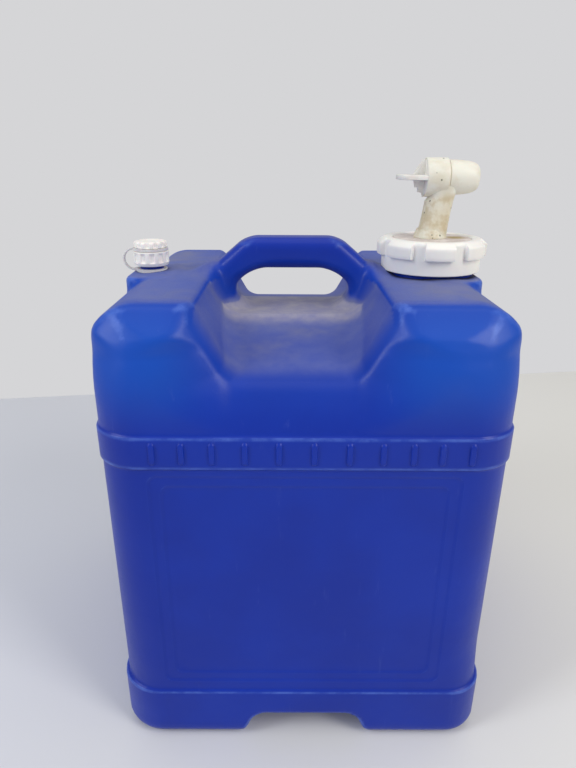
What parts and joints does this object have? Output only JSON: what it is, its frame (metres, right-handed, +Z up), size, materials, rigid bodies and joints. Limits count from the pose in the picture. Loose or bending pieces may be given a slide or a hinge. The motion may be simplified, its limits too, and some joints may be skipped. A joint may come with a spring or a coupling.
{
  "type": "rigid water container with tap",
  "caption": "Square blue plastic water container with a moulded bar handle, hand troughs, a lugged screw closure with a quarter-turn tap, and a tethered vent cap.",
  "frame": {"origin": "middle of the footprint, on the surface the container stands on", "axes": "+Z up out of the necks, +X from the vent towards the fill closure, -Y out of the front panel"},
  "size_m": [0.292, 0.2856, 0.4402],
  "materials": {
    "polyethylene_blue": "satin blow-moulded polyethylene",
    "polypropylene_white": "moulded white",
    "polypropylene_disc": "moulded, dusty",
    "polypropylene_cream": "moulded, yellowed",
    "polypropylene_knob": "moulded off-white",
    "polypropylene_vent": "moulded off-white",
    "polyethylene_liner": "soft foam sheet",
    "polyethylene_tether": "thin flexible moulding",
    "rubber_black": "matt elastomer"
  },
  "bodies": {
    "tank": {"tank_shell": "polyethylene_blue"},
    "gasket": {"neck_gasket": "rubber_black"},
    "tap_insert": {"tap_disc": "polypropylene_disc", "tap_body": "polypropylene_cream", "outer_washer": "rubber_black", "inner_washer": "rubber_black", "lock_nut": "polypropylene_cream"},
    "ring": {"screw_ring": "polypropylene_white"},
    "knob": {"valve_knob": "polypropylene_knob", "valve_plug": "polypropylene_knob", "plug_seal_outer": "rubber_black", "plug_seal_inner": "rubber_black"},
    "tether": {"tether_neck_ring": "polyethylene_tether", "tether_strap": "polyethylene_tether"},
    "collar": {"tether_collar": "polyethylene_tether"},
    "vent": {"vent_cap": "polypropylene_vent", "vent_liner": "polyethylene_liner"}
  },
  "joints": [
    {"name": "closure_lift", "type": "slide", "parent": "tank", "child": "gasket", "axis": [0, 0, 1], "range_m": [0, 0.12]},
    {"name": "thread_rise", "type": "slide", "parent": "gasket", "child": "tap_insert", "axis": [0, 0, 1], "range_m": [0, 0.0091]},
    {"name": "ring_turn", "type": "hinge", "parent": "tap_insert", "child": "ring", "pos_m": [0.103, 0, 0.37], "axis": [0, 0, 1], "range_deg": [0, 540]},
    {"name": "knob_turn", "type": "hinge", "parent": "tap_insert", "child": "knob", "pos_m": [0.09496, 0, 0.4258], "axis": [1, 0, 0], "range_deg": [0, 90]},
    {"name": "vent_lift", "type": "slide", "parent": "tank", "child": "tether", "axis": [0, 0, 1], "range_m": [0, 0.014]},
    {"name": "vent_rise", "type": "slide", "parent": "tether", "child": "collar", "axis": [0, 0, 1], "range_m": [0, 0.0061], "deforming": ["tether_strap"]},
    {"name": "vent_turn", "type": "hinge", "parent": "collar", "child": "vent", "pos_m": [-0.123, 0, 0.365], "axis": [0, 0, 1], "range_deg": [0, 720]}
  ],
  "couplings": [
    {"joint": "thread_rise", "follows": "ring_turn", "m_per_rad": 0.00095493},
    {"joint": "vent_rise", "follows": "vent_turn", "m_per_rad": 0.00047746}
  ]
}
